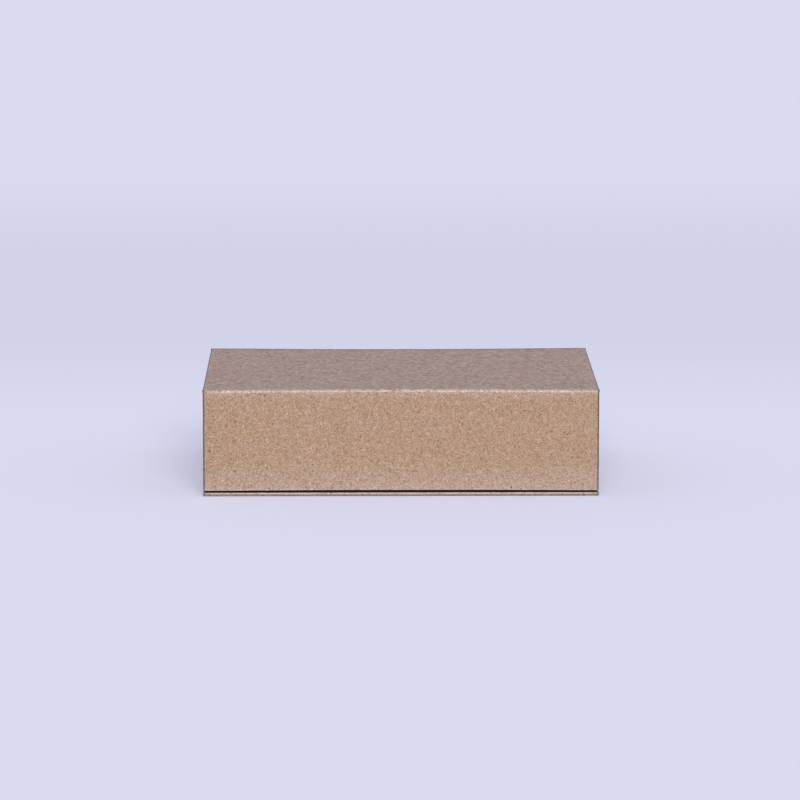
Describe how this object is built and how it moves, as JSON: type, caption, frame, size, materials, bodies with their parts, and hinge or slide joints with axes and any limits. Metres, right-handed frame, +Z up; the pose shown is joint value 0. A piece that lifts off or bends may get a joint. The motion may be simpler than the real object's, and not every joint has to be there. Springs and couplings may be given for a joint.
{
  "type": "hinged presentation box",
  "caption": "Flat kraft-covered rigid box in book style, with a glued-in tray, a lid on a paper hinge and a front flap held by hidden magnets.",
  "frame": {"origin": "on the table under the middle of the closed box", "axes": "+X along the width to the right as seen from the front, +Y from the front flap to the spine, +Z up"},
  "size_m": [0.2062, 0.1488, 0.0559],
  "materials": {
    "kraft_cover": "matte",
    "kraft_lining": "matte",
    "greyboard": "matte",
    "stay_tape": "matte",
    "magnet": "satin"
  },
  "bodies": {
    "case": {"base_wrap": "kraft_cover", "spine_wrap": "kraft_cover", "tray_wrap": "kraft_cover", "spine_lining": "kraft_lining", "tray_floor_liner": "kraft_lining", "base_board": "greyboard", "spine_board": "greyboard", "tray_floor_board": "greyboard", "tray_front_wall": "greyboard", "tray_back_wall": "greyboard", "tray_left_wall": "greyboard", "tray_right_wall": "greyboard", "corner_stay_front_left": "stay_tape", "corner_stay_front_right": "stay_tape", "corner_stay_back_left": "stay_tape", "corner_stay_back_right": "stay_tape", "tray_magnet_left": "magnet", "tray_magnet_right": "magnet"},
    "lid": {"lid_board": "greyboard", "lid_wrap": "kraft_cover", "lid_lining": "kraft_lining", "lid_hinge_wrap": "kraft_cover", "lid_hinge_lining": "kraft_lining"},
    "flap": {"flap_board": "greyboard", "flap_wrap": "kraft_cover", "flap_lining": "kraft_lining", "flap_hinge_wrap": "kraft_cover", "flap_hinge_lining": "kraft_lining", "flap_magnet_left": "magnet", "flap_magnet_right": "magnet"}
  },
  "joints": [
    {"name": "lid_hinge", "type": "hinge", "parent": "case", "child": "lid", "pos_m": [0, 0.07396, 0.05546], "axis": [-1, 0, 0], "range_deg": [0, 180], "deforming": ["lid_hinge_wrap", "lid_hinge_lining"]},
    {"name": "flap_hinge", "type": "hinge", "parent": "lid", "child": "flap", "pos_m": [0, -0.07366, 0.05546], "axis": [-1, 0, 0], "range_deg": [0, 180], "deforming": ["flap_hinge_wrap", "flap_hinge_lining"]}
  ]
}
